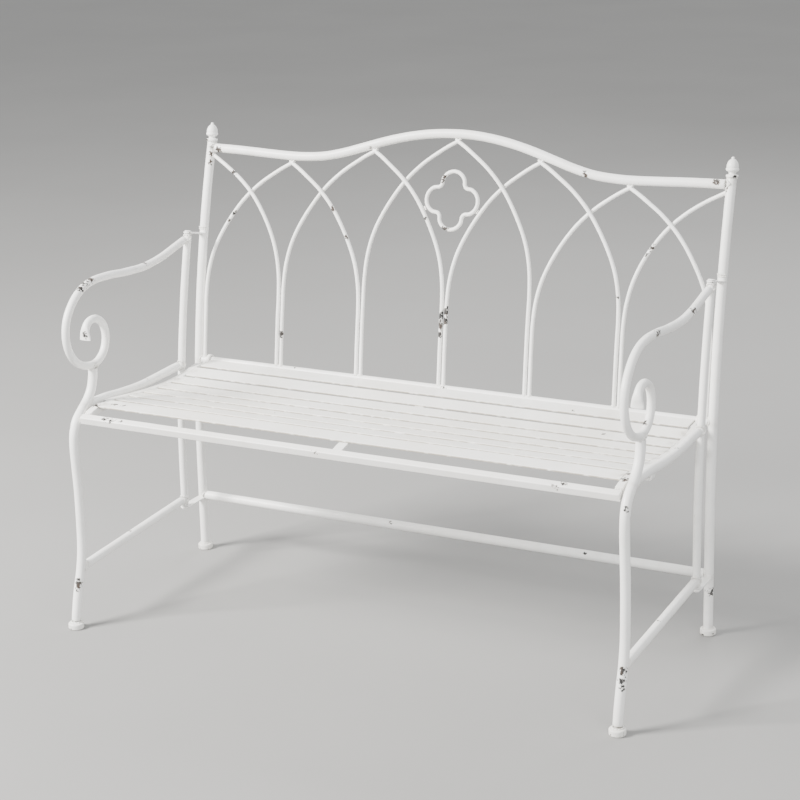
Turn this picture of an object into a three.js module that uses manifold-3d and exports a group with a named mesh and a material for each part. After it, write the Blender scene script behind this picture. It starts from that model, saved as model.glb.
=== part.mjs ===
// Garden bench: a welded metal bench with a pointed-arch back and scrolled arms.
// Millimetres, +Z up, the front faces -Y, +X to the right of someone who faces the bench.
// Origin: the middle of the footprint, on the ground.
import * as THREE from 'three';
import { mergeVertices } from 'three/addons/utils/BufferGeometryUtils.js';
import Module from 'manifold-3d';

const wasm = await Module();
wasm.setup();

// Main sizes
const halfSpan = 588;          // back posts and side frames, from the middle
const weldGap = 0.3;           // space kept between pieces that are welded
const postRadius = 9.5;
const legRadius = 9.5;
const armRadius = 8;
const uprightRadius = 8;
const seatRailRadius = 9;
const sideStretcherRadius = 9;
const backStretcherRadius = 9.5;
const topRailRadius = 9.3;
const backRailRadius = 8;
const rodRadius = 4;

// Back: straight up to bendHeight, then one long sweep backwards
const postY = 2;
const bendHeight = 210;
const sweepRadius = 2416;
const postTop = 905;
const backRailHeight = 440;
const stretcherHeight = 129;

// Arches
const footPitch = 193.5;
const apexX = [578, 383, 188, 0];
const pairOffset = 5.5;
const outerRodX = 573;
const crossingOffset = 4.25;
const archDepth = [0.94, 1.03, 1.06, 1.045]; // from the outer arches to the middle one

// Seat
const seatHalf = 575;
const barSize = 16;
const slatThick = 4;
const slatWidth = 42;
const slatCount = 7;
const firstSlatY = -66.5;
const slatPitch = 53.6;
const slatRise = [
  [-22, 442], [-55, 438.5], [-84, 435], [-143, 433.8], [-201, 436.8], [-255, 442],
  [-312, 449.3], [-364, 455.5], [-390, 456], [-415, 453.3], [-440, 447.6],
];
const frontRailCentre = [-445, 437];
const rearSlatCentre = [-16, 440.6]; // welded along its rear edge to the back rail
const rearSlatTilt = 4;
const frontRailTilt = 17;
const hingeX = 560;
const eyeHalf = 4;

// Side frame, as (y, z) along each tube's centre
const armPath = [
  [-14, 716.5], [-52, 709], [-116, 696], [-178, 690.5], [-247, 694], [-315, 701], [-368, 701.5],
  [-407, 692], [-438, 671], [-459, 642], [-465, 609], [-457, 577], [-436, 551], [-404, 535],
  [-368, 533], [-341, 550], [-331, 579], [-339, 607], [-364, 623.5], [-388, 621], [-400, 606],
];
const legPath = [
  [-381, 530], [-384, 505], [-391, 484], [-406, 465], [-427, 449], [-447, 432], [-457, 410],
  [-460, 385], [-458, 338], [-455, 289], [-454, 231], [-456, 163], [-464, 120], [-476, 82],
  [-484, 50], [-489, 24], [-491, 8],
];
const seatRailPath = [
  [-62, 446], [-110, 445], [-158, 443.5], [-220, 442.5], [-283, 446.5], [-340, 452.5],
  [-378, 454.5], [-424, 454.5],
];
const sideStretcherEnds = [[-74, 143], [-457, 124]];
const uprightLow = 131;
const uprightHigh = 721.5;
const uprightLead = 74;        // how far the upright stands ahead of the post, low down
const uprightLeadTop = 66;
const footHeight = 13;
const ground = 3;              // the heights below are counted from 3 mm under the feet

const group = new THREE.Group();
group.name = 'garden_bench';

function addPart(name, geometry, colour = 0xf0eee7, roughness = 0.5, metalness = 0.05) {
  const material = new THREE.MeshStandardMaterial({ color: colour, roughness, metalness });
  const mesh = new THREE.Mesh(geometry, material);
  mesh.name = name;
  group.add(mesh);
  return mesh;
}

function signedVolume(positions, index) {
  let total = 0;
  for (let i = 0; i < index.length; i += 3) {
    const [a, b, c] = [index[i] * 3, index[i + 1] * 3, index[i + 2] * 3];
    const [ax, ay, az] = [positions[a], positions[a + 1], positions[a + 2]];
    const [bx, by, bz] = [positions[b], positions[b + 1], positions[b + 2]];
    const [cx, cy, cz] = [positions[c], positions[c + 1], positions[c + 2]];
    total += ax * (by * cz - bz * cy) + ay * (bz * cx - bx * cz) + az * (bx * cy - by * cx);
  }
  return total / 6;
}

function toSolid(geometry) {
  let welded = geometry.clone();
  welded.deleteAttribute('normal');
  welded.deleteAttribute('uv');
  welded = mergeVertices(welded, 1e-4);
  const vertProperties = new Float32Array(welded.attributes.position.array);
  const triVerts = new Uint32Array(welded.index.array);
  if (signedVolume(vertProperties, triVerts) < 0) {
    for (let i = 0; i < triVerts.length; i += 3) {
      [triVerts[i + 1], triVerts[i + 2]] = [triVerts[i + 2], triVerts[i + 1]];
    }
  }
  return new wasm.Manifold(new wasm.Mesh({ numProp: 3, vertProperties, triVerts }));
}

function toGeometry(solid) {
  const mesh = solid.getMesh();
  const geometry = new THREE.BufferGeometry();
  const positions = new Float32Array(mesh.numVert * 3);
  for (let i = 0; i < mesh.numVert; i += 1) {
    for (let k = 0; k < 3; k += 1) positions[i * 3 + k] = mesh.vertProperties[i * mesh.numProp + k];
  }
  geometry.setAttribute('position', new THREE.BufferAttribute(positions, 3));
  geometry.setIndex(new THREE.BufferAttribute(new Uint32Array(mesh.triVerts), 1));
  geometry.computeVertexNormals();
  return geometry;
}

// The biggest single body that is left after a cut
function mainBody(solid) {
  const bodies = solid.decompose();
  let best = bodies[0];
  for (const body of bodies) {
    if (body.volume() > best.volume()) best = body;
  }
  return best;
}

function circleShape(radius, segments) {
  const shape = new THREE.Shape();
  for (let i = 0; i < segments; i += 1) {
    const angle = (i + 0.5) / segments * Math.PI * 2;
    const [x, y] = [radius * Math.cos(angle), radius * Math.sin(angle)];
    if (i === 0) shape.moveTo(x, y);
    else shape.lineTo(x, y);
  }
  shape.closePath();
  return shape;
}

function vec(x, y, z) {
  return new THREE.Vector3(x, y, z);
}

function sweep(points, radius, segments, steps) {
  const path = points.length === 2
    ? new THREE.LineCurve3(points[0], points[1])
    : new THREE.CatmullRomCurve3(points, false, 'centripetal');
  path.arcLengthDivisions = 600;
  const shape = circleShape(radius, segments);
  return toSolid(new THREE.ExtrudeGeometry(shape, { steps, bevelEnabled: false, extrudePath: path }));
}

function sidePoints(side, path) {
  return path.map(([y, z]) => vec(side * halfSpan, y, z));
}

function backY(z) {
  const rise = Math.max(0, z - bendHeight);
  return postY + sweepRadius - Math.sqrt(sweepRadius * sweepRadius - rise * rise);
}

function postPoints(side, low, high, lead = () => 0) {
  const points = [];
  const count = 14;
  for (let i = 0; i <= count; i += 1) {
    const z = low + (high - low) * i / count;
    points.push(vec(side * halfSpan, backY(z) - lead(z), z));
  }
  return points;
}

function uprightLeadAt(z) {
  const share = Math.min(1, Math.max(0, (z - 300) / (uprightHigh - 300)));
  return uprightLead + (uprightLeadTop - uprightLead) * share;
}

// A solid with a flat outline in the side view, of a given width along X
function sidePlate(outline, x0, x1) {
  const shape = new THREE.Shape(outline.map(([y, z]) => new THREE.Vector2(y, z)));
  const geometry = new THREE.ExtrudeGeometry(shape, { depth: x1 - x0, bevelEnabled: false });
  const place = new THREE.Matrix4().makeBasis(vec(0, 1, 0), vec(0, 0, 1), vec(1, 0, 0));
  geometry.applyMatrix4(place);
  geometry.translate(x0, 0, 0);
  return toSolid(geometry);
}

function lathe(profile, segments) {
  const geometry = new THREE.LatheGeometry(profile.map(([r, z]) => new THREE.Vector2(r, z)), segments);
  geometry.rotateX(Math.PI / 2);
  return geometry;
}

function cylinder(radius, length, segments = 16) {
  const geometry = new THREE.CylinderGeometry(radius, radius, length, segments);
  geometry.rotateX(Math.PI / 2);
  return geometry;
}

// Turns +Z to lie along the back's slope at a height, then moves to a point
function placeOnSlope(solid, x, y, z, slope) {
  const matrix = new THREE.Matrix4().makeRotationX(-Math.atan(slope));
  matrix.setPosition(x, y, z);
  return solid.transform(matrix.toArray());
}

// ---- Back panel ----

const topRailShape = [
  [0, 955], [52, 952.5], [105, 945.1], [157.5, 933.3], [210, 918], [262.5, 902.5], [304.5, 893.3],
  [341, 889.7], [378, 888.5], [441, 890], [505, 892.5], [588, 894],
];

function topRailPoints() {
  const right = topRailShape.map(([x, z]) => vec(x, backY(z), z));
  const left = topRailShape.slice(1).map(([x, z]) => vec(-x, backY(z), z)).reverse();
  return [...left, ...right];
}

function topRailHeight(x) {
  const reach = Math.abs(x);
  for (let i = 1; i < topRailShape.length; i += 1) {
    const [x0, z0] = topRailShape[i - 1];
    const [x1, z1] = topRailShape[i];
    if (reach <= x1) return z0 + (z1 - z0) * (reach - x0) / (x1 - x0);
  }
  return topRailShape[topRailShape.length - 1][1];
}

const postCutters = {};

function makePosts() {
  for (const [side, name] of [[-1, 'left'], [1, 'right']]) {
    const points = postPoints(side, ground + footHeight - 0.5, postTop);
    let post = sweep(points, postRadius, 16, 22);
    const socket = cylinder(postRadius + weldGap, 30, 20);
    socket.translate(side * halfSpan, backY(0), ground + footHeight - 15 + weldGap);
    post = post.subtract(toSolid(socket));
    postCutters[name] = sweep(postPoints(side, -20, postTop + 20), postRadius + weldGap, 20, 22);
    addPart(`${name}_back_post`, toGeometry(mainBody(post)));
  }
}

let topRailCutter = null;
let backRailCutter = null;
let stretcherCutter = null;

function makeRails() {
  let top = sweep(topRailPoints(), topRailRadius, 12, 56);
  top = top.subtract(postCutters.left).subtract(postCutters.right);
  topRailCutter = sweep(topRailPoints(), topRailRadius + weldGap, 14, 56);
  addPart('top_rail', toGeometry(mainBody(top)));

  const y = backY(backRailHeight);
  const ends = [vec(-halfSpan, y, backRailHeight), vec(halfSpan, y, backRailHeight)];
  let rail = sweep(ends, backRailRadius, 20, 1);
  rail = rail.subtract(postCutters.left).subtract(postCutters.right);
  backRailCutter = sweep(ends, backRailRadius + weldGap, 20, 1);
  addPart('back_rail', toGeometry(mainBody(rail)));

  const low = [vec(-halfSpan, postY + 1, stretcherHeight), vec(halfSpan, postY + 1, stretcherHeight)];
  let stretcher = sweep(low, backStretcherRadius, 16, 1);
  stretcher = stretcher.subtract(postCutters.left).subtract(postCutters.right);
  stretcherCutter = sweep(low, backStretcherRadius + weldGap, 16, 1);
  addPart('back_stretcher', toGeometry(mainBody(stretcher)));
}

// Arch curve: share of the way across against the drop from the point of the arch
const archShape = [
  [0, 0], [0.1, 10], [0.2, 21], [0.4, 47], [0.6, 83], [0.8, 137], [0.92, 187], [0.98, 235], [1, 285],
];

function archPath(fromX, fromZ, toX, bow, deep) {
  const crossShare = 0.5;
  const points = archShape.map(([share, drop]) => {
    const x = fromX + (toX - fromX) * share;
    const z = fromZ - drop * (1 + (deep - 1) * Math.min(1, share * 5) * Math.min(1, (1.25 - share) * 2));
    const near = Math.max(0, 1 - Math.abs(share - crossShare) / 0.5);
    const lift = bow * Math.min(1, near * 2.2);
    return vec(x, backY(z) + lift, z);
  });
  const start = points[0].clone();
  const lean = points[0].clone().sub(points[1]).normalize().multiplyScalar(9);
  points.unshift(start.add(lean));
  const low = backRailHeight + 2;
  const last = fromZ - 285;
  for (let i = 1; i <= 4; i += 1) {
    const z = last + (low - last) * i / 4;
    points.push(vec(toX, backY(z), z));
  }
  return points;
}

function halfSpace(x, side) {
  const block = new THREE.BoxGeometry(1400, 600, 1400);
  block.translate(x + side * 700, 50, 700);
  return toSolid(block);
}

function rodEnds() {
  const list = [];
  for (let k = 0; k < 6; k += 1) {
    list.push([k, k + 1]);
    list.push([k + 1, k]);
  }
  return list;
}

function apexAt(k) {
  return k <= 3 ? -apexX[k] : apexX[6 - k];
}

function footAt(from, to) {
  if (to === 0) return -outerRodX;
  if (to === 6) return outerRodX;
  const base = (to - 3) * footPitch;
  return from < to ? base - pairOffset : base + pairOffset;
}

function makeArches() {
  let number = 0;
  for (const [from, to] of rodEnds()) {
    number += 1;
    const fromX = apexAt(from);
    const toX = footAt(from, to);
    const outer = from === 0 || from === 6;
    const fromZ = topRailHeight(fromX) - (outer ? 16 : 14.5);
    const bow = from < to ? -crossingOffset : crossingOffset;
    const path = archPath(fromX, fromZ, toX, bow, archDepth[Math.min(from, 6 - from)]);
    let rod = sweep(path, rodRadius, 8, 26);
    rod = rod.subtract(topRailCutter).subtract(backRailCutter);
    if (outer) {
      rod = rod.subtract(from === 0 ? postCutters.left : postCutters.right);
    } else {
      const side = Math.sign(to - from);
      rod = rod.intersect(halfSpace(fromX + side * weldGap / 2, side));
    }
    rod = mainBody(rod);
    addPart(`arch_rod_${String(number).padStart(2, '0')}`, toGeometry(rod));
  }
}

// Four round lobes that meet in inward points
const quatrefoilCentreZ = 823;
const lobeReach = 32;
const lobeRadius = 26;

function makeQuatrefoil() {
  const points = [];
  const cusp = Math.acos((lobeReach - 24.6) / lobeRadius);
  const sweepHalf = Math.PI - cusp;
  for (let lobe = 0; lobe < 4; lobe += 1) {
    const facing = lobe * Math.PI / 2;
    for (let i = 0; i < 8; i += 1) {
      const turn = facing - sweepHalf + (i + 0.5) / 8 * sweepHalf * 2;
      const x = lobeReach * Math.cos(facing) + lobeRadius * Math.cos(turn);
      const z = quatrefoilCentreZ + lobeReach * Math.sin(facing) + lobeRadius * Math.sin(turn);
      points.push(vec(x, backY(z), z));
    }
  }
  const path = new THREE.CatmullRomCurve3(points, true, 'centripetal');
  const shape = circleShape(rodRadius, 8);
  const ring = new THREE.ExtrudeGeometry(shape, { steps: 72, bevelEnabled: false, extrudePath: path });
  addPart('quatrefoil', toGeometry(toSolid(ring)));
}

function makeFinials() {
  const profile = [
    [0, 0], [11.5, 0], [12, 1.2], [12, 3.4], [11.4, 4.4], [7, 5.6], [6.6, 8], [8.6, 10.4],
    [12.4, 13], [12.8, 15], [12.4, 17], [11.2, 18], [11.6, 21], [10.8, 25.5], [8.6, 30],
    [5.4, 33.6], [3.2, 35.2], [2.8, 36.2], [3.2, 37.4], [2.6, 38.9], [0, 39.4],
  ];
  for (const [side, name] of [[-1, 'left'], [1, 'right']]) {
    const finial = toSolid(lathe(profile, 16));
    const height = postTop + 3;
    const y = backY(postTop) + 0.6;
    addPart(`${name}_finial`, toGeometry(placeOnSlope(finial, side * halfSpan, y, height, 0.12)));
  }
}

// ---- Feet ----

function makeFeet() {
  const profile = [[0, 0], [14.4, 0], [16, 1.8], [16, 9.8], [14.6, 12], [11.8, 13], [0, 13]];
  const spots = [
    ['left_front_foot', -1, -491], ['right_front_foot', 1, -491],
    ['left_back_foot', -1, postY], ['right_back_foot', 1, postY],
  ];
  for (const [name, side, y] of spots) {
    const foot = lathe(profile, 24);
    foot.translate(side * halfSpan, y, ground);
    addPart(name, toGeometry(toSolid(foot)));
  }
}

// ---- Side frames ----

function uprightAxisPoint(z) {
  return backY(z) - uprightLeadAt(z);
}

function upperSlope() {
  return (uprightAxisPoint(uprightHigh) - uprightAxisPoint(uprightHigh - 30)) / 30;
}

function pinHole(side, y, z, slope, radius, length) {
  return placeOnSlope(toSolid(cylinder(radius, length, 16)), side * halfSpan, y, z, slope);
}

const upperLugLift = 4;
const lugThick = 3.2;
const pinRadius = 4;

function upperSeat() {
  const slope = upperSlope();
  const y = uprightAxisPoint(uprightHigh);
  return { slope, y, z: uprightHigh };
}

function makeSideFrames() {
  for (const [side, name] of [[-1, 'left'], [1, 'right']]) {
    const upPoints = postPoints(side, uprightLow, uprightHigh, uprightLeadAt);
    let upright = sweep(upPoints, uprightRadius, 14, 14);
    const uprightCutter = sweep(upPoints, uprightRadius + weldGap, 16, 14);
    const top = upperSeat();
    upright = upright.subtract(pinHole(side, top.y, top.z, top.slope, pinRadius + 0.35, 44));
    const lowY = uprightAxisPoint(uprightLow);
    upright = upright.subtract(pinHole(side, lowY, uprightLow, 0, pinRadius + 0.35, 44));
    addPart(`${name}_rear_upright`, toGeometry(mainBody(upright)));

    const arm = sweep(sidePoints(side, armPath), armRadius, 12, 64);
    const armCutter = sweep(sidePoints(side, armPath), armRadius + weldGap, 14, 64);
    const tail = makeScrollTail(side);
    addPart(`${name}_arm`, toGeometry(mainBody(arm.subtract(uprightCutter).add(tail))));

    let leg = sweep(sidePoints(side, legPath), legRadius, 14, 34);
    const legCutter = sweep(sidePoints(side, legPath), legRadius + weldGap, 16, 34);
    leg = leg.subtract(armCutter);
    const floorBlock = new THREE.BoxGeometry(60, 60, 60);
    floorBlock.translate(side * halfSpan, -491, ground + footHeight + weldGap - 30);
    leg = leg.subtract(toSolid(floorBlock));
    addPart(`${name}_front_leg`, toGeometry(mainBody(leg)));

    let rail = sweep(sidePoints(side, seatRailPath), seatRailRadius, 14, 18);
    rail = rail.subtract(uprightCutter).subtract(legCutter);
    addPart(`${name}_seat_rail`, toGeometry(mainBody(rail)));

    let stretcher = sweep(sidePoints(side, sideStretcherEnds), sideStretcherRadius, 14, 1);
    stretcher = stretcher.subtract(uprightCutter).subtract(legCutter);
    addPart(`${name}_side_stretcher`, toGeometry(mainBody(stretcher)));

    const railCutter = sweep(sidePoints(side, seatRailPath), seatRailRadius + weldGap, 16, 18);
    addPart(`${name}_seat_rest`, toGeometry(mainBody(restBracket(side).subtract(railCutter))));
  }
}

// A bent strap under the seat rail that the end bar of the seat lies on
function restBracket(side) {
  const outline = [[560, 429.5], [590, 429.5], [590, 450], [586, 450], [586, 432.7], [560, 432.7]];
  const shape = new THREE.Shape(outline.map(([x, z]) => new THREE.Vector2(side * x, z)));
  const geometry = new THREE.ExtrudeGeometry(shape, { depth: 18, bevelEnabled: false });
  geometry.rotateX(Math.PI / 2);
  geometry.translate(0, -312, 0);
  return toSolid(geometry);
}

// The hammered, widened end of the scroll
function makeScrollTail(side) {
  const shape = new THREE.Shape();
  shape.moveTo(-6.5, 0);
  shape.lineTo(-8, -8);
  shape.lineTo(-11, -24);
  shape.lineTo(11, -24);
  shape.lineTo(8, -8);
  shape.lineTo(6.5, 0);
  shape.closePath();
  const geometry = new THREE.ExtrudeGeometry(shape, { depth: 5, bevelEnabled: false });
  geometry.translate(0, 0, -2.5);
  geometry.rotateX(Math.PI / 2);
  geometry.rotateX(-0.04);
  geometry.translate(side * halfSpan, -399.5, 611);
  return toSolid(geometry);
}

// ---- Lugs and pivot pins between the back and the side frames ----

function lugOutline(halfWidth, back, front) {
  const shape = new THREE.Shape();
  shape.moveTo(-halfWidth, back);
  shape.lineTo(halfWidth, back);
  shape.lineTo(halfWidth, front);
  for (let i = 1; i < 10; i += 1) {
    const angle = Math.PI * i / 10;
    shape.lineTo(halfWidth * Math.cos(angle), front - halfWidth * Math.sin(angle));
  }
  shape.lineTo(-halfWidth, front);
  shape.closePath();
  return shape;
}

function lugPlate(back, front) {
  const shape = lugOutline(9.5, back, front);
  const geometry = new THREE.ExtrudeGeometry(shape, { depth: lugThick, bevelEnabled: false });
  return toSolid(geometry);
}

function makeLugs() {
  for (const [side, name] of [[-1, 'left'], [1, 'right']]) {
    const top = upperSeat();
    const along = [Math.sin(Math.atan(top.slope)), Math.cos(Math.atan(top.slope))];
    const holeTop = pinHole(side, top.y, top.z, top.slope, pinRadius + 0.35, 60);
    const lugY = top.y + along[0] * upperLugLift;
    const lugZ = top.z + along[1] * upperLugLift;
    let upper = placeOnSlope(lugPlate(82, 0), side * halfSpan, lugY, lugZ, top.slope);
    upper = upper.subtract(postCutters[name]).subtract(holeTop);
    addPart(`${name}_upper_lug`, toGeometry(mainBody(upper)));

    const lowY = uprightAxisPoint(uprightLow);
    const lowLugZ = uprightLow - 4 - lugThick;
    let lower = lugPlate(80, 0).translate([side * halfSpan, lowY, lowLugZ]);
    const holeLow = pinHole(side, lowY, uprightLow, 0, pinRadius + 0.35, 60);
    lower = lower.subtract(postCutters[name]).subtract(holeLow).subtract(stretcherCutter);
    addPart(`${name}_lower_lug`, toGeometry(mainBody(lower)));

    const pin = [
      [0, -18], [3.4, -18], [pinRadius, -17], [pinRadius, 0.3 + upperLugLift + lugThick],
      [7.6, 0.3 + upperLugLift + lugThick], [7.6, 8.9], [6.4, 10], [0, 10.4],
    ];
    const upperPin = placeOnSlope(
      toSolid(lathe(pin, 16)), side * halfSpan, top.y, top.z, top.slope,
    );
    addPart(`${name}_upper_pin`, toGeometry(upperPin));

    const flipped = toSolid(lathe(pin, 16)).rotate([180, 0, 0]);
    addPart(`${name}_lower_pin`, toGeometry(flipped.translate([side * halfSpan, lowY, uprightLow])));
  }
}

// ---- Seat ----

function seatCurve() {
  const curve = new THREE.CatmullRomCurve3(slatRise.map(([y, z]) => vec(0, y, z)), false, 'centripetal');
  curve.arcLengthDivisions = 400;
  return curve;
}

function seatStations(count) {
  const curve = seatCurve();
  const list = [];
  for (let i = 0; i <= count; i += 1) {
    const point = curve.getPointAt(i / count);
    const tangent = curve.getTangentAt(i / count);
    list.push({ y: point.y, z: point.z, ny: tangent.z, nz: -tangent.y });
  }
  return list;
}

function seatAt(y) {
  const list = seatStations(200);
  let best = list[0];
  for (const item of list) {
    if (Math.abs(item.y - y) < Math.abs(best.y - y)) best = item;
  }
  return best;
}

function contouredBar(stations, top, thick, x0, x1) {
  const upper = stations.map((s) => [s.y + s.ny * -top, s.z + s.nz * -top]);
  const lower = stations.map((s) => [s.y + s.ny * -(top + thick), s.z + s.nz * -(top + thick)]);
  return sidePlate([...upper, ...lower.reverse()], x0, x1);
}

function frontRailSolid(grow) {
  const size = barSize + grow * 2;
  const box = new THREE.BoxGeometry((seatHalf + grow) * 2, size, size);
  box.rotateX(frontRailTilt * Math.PI / 180);
  box.translate(0, frontRailCentre[0], frontRailCentre[1]);
  return toSolid(box);
}

function slatSolid(y, inner, grow) {
  const at = seatAt(y);
  const slat = new THREE.BoxGeometry((inner + grow) * 2, slatWidth + grow * 2, slatThick + grow * 2);
  slat.rotateX(-Math.atan2(at.ny, at.nz));
  slat.translate(0, at.y - at.ny * slatThick / 2, at.z - at.nz * slatThick / 2);
  return toSolid(slat);
}

function makeSeat() {
  addPart('seat_front_rail', toGeometry(frontRailSolid(0)));
  const railCutter = frontRailSolid(weldGap);
  const hingeY = backY(backRailHeight);

  for (const [side, name] of [[-1, 'left'], [1, 'right']]) {
    const x0 = Math.min(side * seatHalf, side * (seatHalf - barSize));
    let bar = contouredBar(seatStations(20), 0, barSize, x0, x0 + barSize);
    const eyeX = side * hingeX;
    const eye = toSolid(cylinder(12.4, eyeHalf * 2, 24).rotateY(Math.PI / 2).rotateX(0));
    const bore = toSolid(cylinder(backRailRadius + 0.7, 60, 24).rotateY(Math.PI / 2));
    const arm = sidePlate(
      [[-26, 440], [-26, 428], [hingeY, backRailHeight - 12], [hingeY - 8, backRailHeight + 4]],
      eyeX - eyeHalf, eyeX + eyeHalf,
    );
    bar = bar.add(eye.translate([eyeX, hingeY, backRailHeight])).add(arm);
    bar = bar.subtract(bore.translate([eyeX, hingeY, backRailHeight]));
    addPart(`${name}_seat_bar`, toGeometry(mainBody(bar.subtract(railCutter))));
  }

  const inner = seatHalf - barSize - weldGap;
  const stations = seatStations(24).filter((s) => s.y < -47);
  let rib = contouredBar(stations, slatThick + 0.6, 4, -10, 10).subtract(railCutter);
  for (let i = 0; i < slatCount; i += 1) {
    const y = firstSlatY - i * slatPitch;
    addPart(`seat_slat_${i + 1}`, toGeometry(slatSolid(y, inner, 0)));
    rib = rib.subtract(slatSolid(y, inner, weldGap));
  }
  addPart('seat_centre_rib', toGeometry(mainBody(rib)));

  // The last slat stays with the back, so that the hinge's gap is closed
  const rear = new THREE.BoxGeometry((hingeX - eyeHalf - 3) * 2, slatWidth, slatThick);
  rear.rotateX(rearSlatTilt * Math.PI / 180);
  rear.translate(0, rearSlatCentre[0], rearSlatCentre[1]);
  addPart('rear_slat', toGeometry(mainBody(toSolid(rear).subtract(backRailCutter))));
}

makePosts();
makeRails();
makeArches();
makeQuatrefoil();
makeFinials();
makeFeet();
makeSideFrames();
makeLugs();
makeSeat();

// Put the origin at the middle of the footprint, on the ground
const box = new THREE.Box3().setFromObject(group);
const centre = box.getCenter(vec(0, 0, 0));
for (const mesh of group.children) mesh.geometry.translate(-centre.x, -centre.y, -box.min.z);

export default group;
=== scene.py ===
import math

import bpy
import numpy as np
from mathutils import Matrix, Vector


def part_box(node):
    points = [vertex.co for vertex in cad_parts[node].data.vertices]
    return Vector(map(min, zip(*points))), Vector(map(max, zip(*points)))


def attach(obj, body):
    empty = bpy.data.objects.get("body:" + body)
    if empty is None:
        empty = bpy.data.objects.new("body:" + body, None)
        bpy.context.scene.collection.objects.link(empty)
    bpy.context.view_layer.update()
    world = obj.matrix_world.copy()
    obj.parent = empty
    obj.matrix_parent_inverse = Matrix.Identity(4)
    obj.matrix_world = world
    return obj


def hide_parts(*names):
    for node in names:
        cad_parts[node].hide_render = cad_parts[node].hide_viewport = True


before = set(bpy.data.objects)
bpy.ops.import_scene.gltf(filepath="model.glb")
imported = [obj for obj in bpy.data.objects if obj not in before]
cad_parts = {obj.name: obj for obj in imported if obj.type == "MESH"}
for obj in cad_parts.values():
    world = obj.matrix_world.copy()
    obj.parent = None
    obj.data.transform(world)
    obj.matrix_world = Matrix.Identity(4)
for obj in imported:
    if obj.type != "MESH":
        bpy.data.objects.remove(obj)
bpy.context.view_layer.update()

# The drawing's own sizes are in mm; the row frame starts at the footprint's middle, in metres
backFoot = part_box("left_back_foot")
shiftY = (backFoot[0].y + backFoot[1].y) / 2 - 0.002
shiftZ = -0.003
halfSpan = 588.0  # from the middle to the posts and the side frames
postTop = 905
backRailHeight = 440
stretcherHeight = 129


def row(points):
    p = np.asarray(points, float) / 1000
    return p + np.array([0, shiftY, shiftZ])


def backY(z):
    rise = np.maximum(0, np.asarray(z, float) - 210)
    return 2 + 2416 - np.sqrt(2416 ** 2 - rise ** 2)


# ---- paths ----

def smoothPath(points, step, closed=False):
    # the same centripetal curve that the frame's tubes follow, with even steps
    p = np.asarray(points, float)
    n = len(p)
    fine = []
    for i in range(n if closed else n - 1):
        if closed:
            p0, p1, p2, p3 = p[(i - 1) % n], p[i], p[(i + 1) % n], p[(i + 2) % n]
        else:
            p1, p2 = p[i], p[i + 1]
            p0 = p[i - 1] if i > 0 else 2 * p[0] - p[1]
            p3 = p[i + 2] if i + 2 < n else 2 * p[-1] - p[-2]
        d0, d1, d2 = (math.sqrt(np.linalg.norm(b - a)) for a, b in ((p0, p1), (p1, p2), (p2, p3)))
        t1 = ((p1 - p0) / d0 - (p2 - p0) / (d0 + d1) + (p2 - p1) / d1) * d1
        t2 = ((p2 - p1) / d1 - (p3 - p1) / (d1 + d2) + (p3 - p2) / d2) * d1
        t = np.linspace(0, 1, 24, endpoint=False)[:, None]
        fine.append(p1 + t1 * t + (3 * (p2 - p1) - 2 * t1 - t2) * t ** 2 + (2 * (p1 - p2) + t1 + t2) * t ** 3)
    fine = np.concatenate(fine + [p[:1] if closed else p[-1:]])
    return evenPath(fine, step, closed)


def evenPath(fine, step, closed=False):
    fine = np.asarray(fine, float)
    run = np.concatenate([[0], np.cumsum(np.linalg.norm(np.diff(fine, axis=0), axis=1))])
    count = max(2, int(round(run[-1] / step)))
    at = np.linspace(0, run[-1], count + 1)
    out = np.stack([np.interp(at, run, fine[:, k]) for k in range(3)], 1)
    return out[:-1] if closed else out


def framesAlong(path, side, closed=False):
    # a tangent, a side vector and their cross product at each point, without twist
    if closed:
        tangent = np.roll(path, -1, 0) - np.roll(path, 1, 0)
    else:
        tangent = np.gradient(path, axis=0)
    tangent /= np.linalg.norm(tangent, axis=1)[:, None]
    across = np.zeros_like(path)
    last = np.asarray(side, float)
    for i, t in enumerate(tangent):
        last = last - t * (last @ t)
        last /= np.linalg.norm(last)
        across[i] = last
    return tangent, across, np.cross(tangent, across)


# ---- meshes ----

def wobble(p, size, amount, seed):
    # smooth unevenness, like thick hand-sprayed paint; p in metres, size is its wavelength
    r = np.random.default_rng(seed)
    total = np.zeros(len(p))
    for _ in range(7):
        k = r.normal(size=3)
        k *= 2 * math.pi / (size * r.uniform(0.6, 1.7) * np.linalg.norm(k))
        total += np.sin(p @ k + r.uniform(0, 6.28))
    return total / 7 * amount * 1.6


class Spots:
    def __init__(self):
        self.welds = []

    def near(self, p, places, reach):
        near = np.zeros(len(p))
        for place in places:
            d = np.linalg.norm(p - np.asarray(place[:3]), axis=1)
            r = reach if len(place) < 4 else place[3]
            near = np.maximum(near, np.exp(-((d / r) ** 2)))
        return near


spots = Spots()


def addMesh(name, verts, faces, material, chips=()):
    verts = np.asarray(verts, float)
    mesh = bpy.data.meshes.new(name)
    mesh.from_pydata(verts.tolist(), [], faces)
    mesh.update()
    mesh.shade_smooth()
    obj = bpy.data.objects.new(name, mesh)
    bpy.context.scene.collection.objects.link(obj)
    mesh.materials.append(material)
    for label, values in (
        ("chips", spots.near(verts, chips, 0.012)),
        ("grime_and_shade", spots.near(verts, spots.welds, 0.011)),
    ):
        attribute = mesh.attributes.new(label, "FLOAT", "POINT")
        attribute.data.foreach_set("value", values.astype(np.float32))
    return obj


def ringFaces(rings, sides, closed=False):
    faces = []
    for i in range(rings if closed else rings - 1):
        a, b = i * sides, ((i + 1) % rings) * sides
        for j in range(sides):
            k = (j + 1) % sides
            faces.append((a + j, a + k, b + k, b + j))
    return faces


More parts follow.
